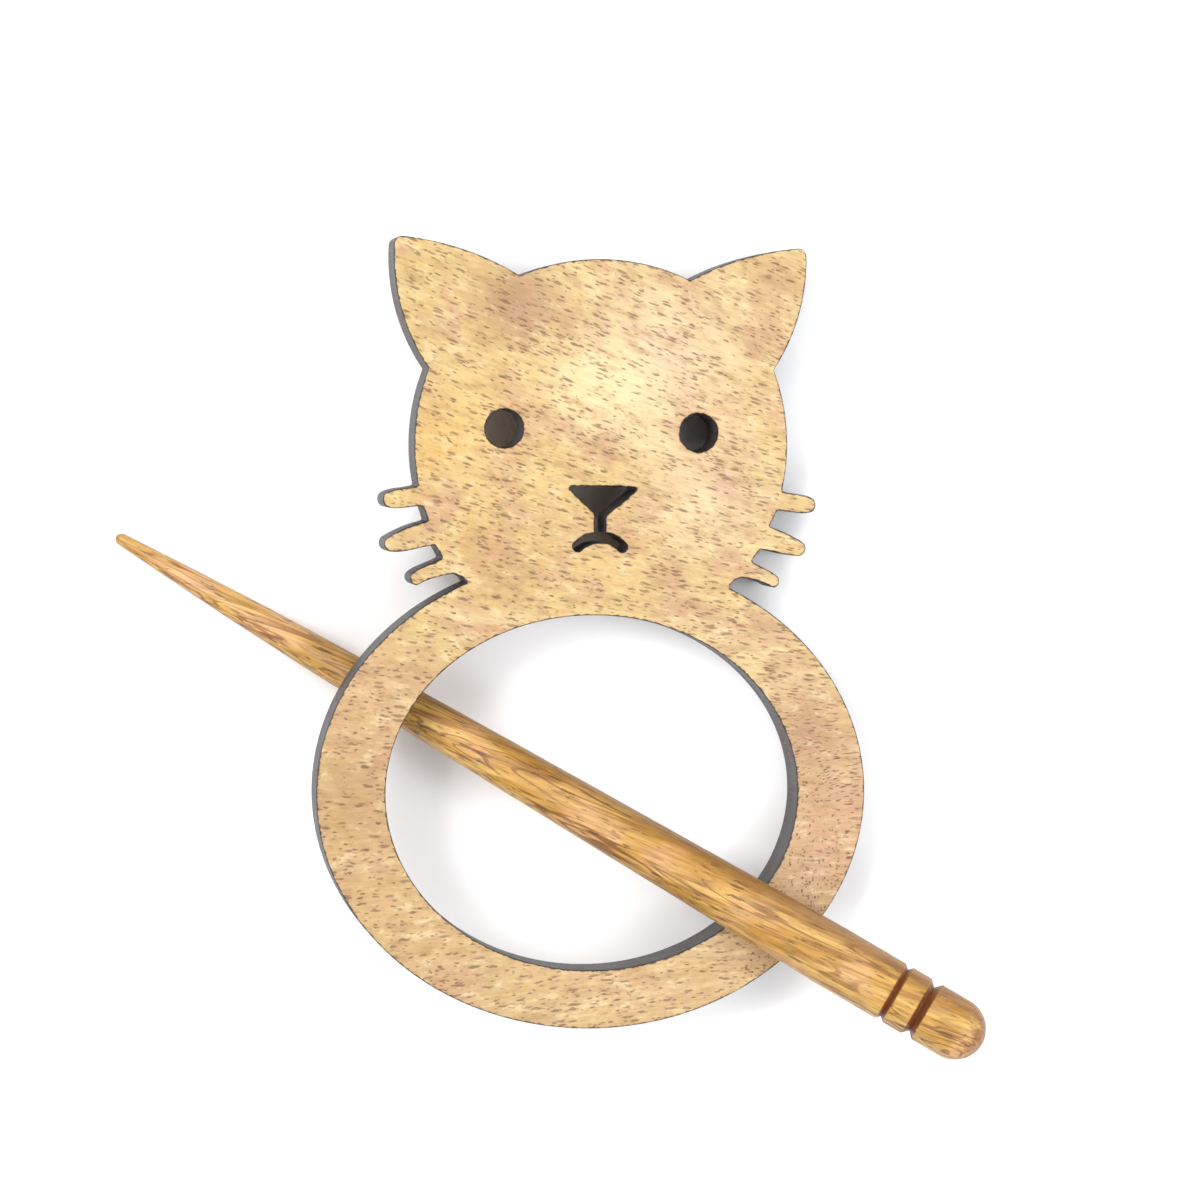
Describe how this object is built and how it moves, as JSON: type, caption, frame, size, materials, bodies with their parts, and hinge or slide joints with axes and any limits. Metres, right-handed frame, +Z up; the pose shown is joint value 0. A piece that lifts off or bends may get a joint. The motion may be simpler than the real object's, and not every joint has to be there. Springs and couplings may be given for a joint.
{
  "type": "shawl pin",
  "caption": "Wooden shawl pin: a flat oval ring topped with a cut-out cat's head, and a turned, grooved stick that passes through the ring to hold a fabric fold.",
  "frame": {"origin": "centre of the bounding box's bottom, on the table the pin rests on", "axes": "+Z up from the table, which is also out of the plate's front face but for a tilt of 9.3 degrees; +Y towards the cat's ears; +X towards the stick's thick end"},
  "size_m": [0.1004, 0.0936, 0.019],
  "materials": {
    "plate_wood": "satin, with charred cut walls",
    "stick_wood": "polished, with burnt grooves"
  },
  "bodies": {
    "ring_plate": {"cat_ring": "plate_wood"},
    "pin_stick": {"stick": "stick_wood"}
  },
  "joints": [
    {"name": "stick_slide", "type": "slide", "parent": "ring_plate", "child": "pin_stick", "axis": [0.8602, -0.4925, 0.1323], "range_m": [0, 0.1]}
  ]
}
